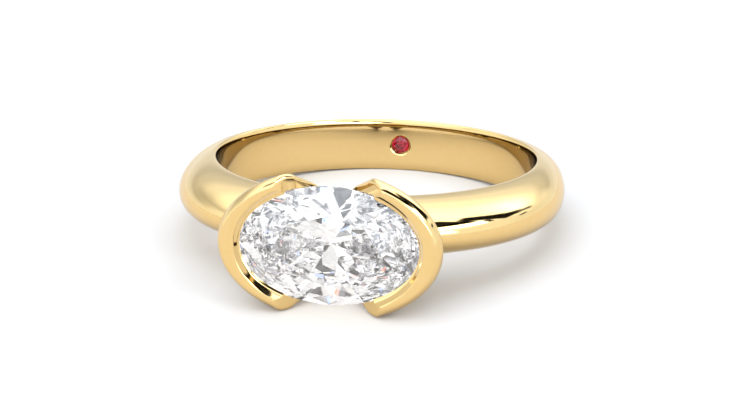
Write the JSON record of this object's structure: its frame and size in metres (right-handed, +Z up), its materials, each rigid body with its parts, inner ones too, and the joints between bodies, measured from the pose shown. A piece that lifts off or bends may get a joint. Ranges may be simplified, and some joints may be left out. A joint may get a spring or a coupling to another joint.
{
  "type": "engagement ring",
  "caption": "Yellow gold engagement ring lying on its side, with a domed shank, a half bezel that holds an oval clear stone crosswise, and a small red stone set inside the shank.",
  "frame": {"origin": "centre of the ring's outline on the surface that it lies on", "axes": "+Z up from the surface, the head with the oval stone points along -Y, and +X runs to the right seen from the head; the finger hole's axis leans 4.8 degrees from +Z towards +Y, as the ring rests on its bezel and the back of its shank"},
  "size_m": [0.0196, 0.0232, 0.0065],
  "materials": {
    "yellow_gold": "polished",
    "clear_stone": "faceted",
    "red_stone": "faceted"
  },
  "bodies": {
    "root": {"band_and_bezel": "yellow_gold", "oval_stone": "clear_stone", "red_stone": "red_stone"}
  },
  "joints": []
}
